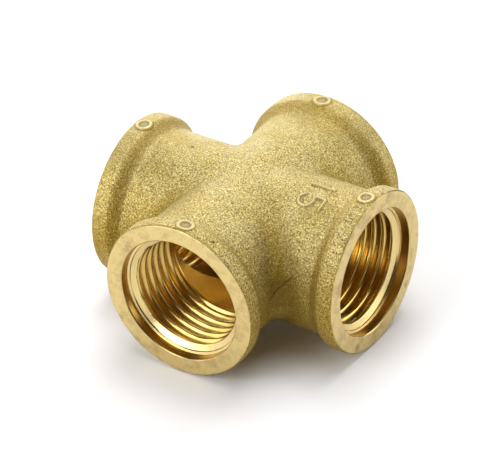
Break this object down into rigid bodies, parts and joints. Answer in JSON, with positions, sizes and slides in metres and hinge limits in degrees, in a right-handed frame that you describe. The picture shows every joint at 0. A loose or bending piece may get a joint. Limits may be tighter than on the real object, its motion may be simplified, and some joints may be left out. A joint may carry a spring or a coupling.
{
  "type": "pipe cross fitting",
  "caption": "Cast brass pipe cross with equal female-threaded arms in one plane, beaded collars, machined end faces and bores crossing in an open hub.",
  "frame": {"origin": "point where the axes of the run and branch bores cross, the centre of the body", "axes": "+X along the run towards the arm with the raised size mark, +Y along the branches, +Z normal to the plane of the arms, towards the raised pin marks"},
  "size_m": [0.046, 0.046, 0.028],
  "materials": {
    "cast_brass": "sand-blasted casting with turned end faces, mouths and threads"
  },
  "bodies": {
    "root": {"cross_body": "cast_brass"}
  },
  "joints": []
}
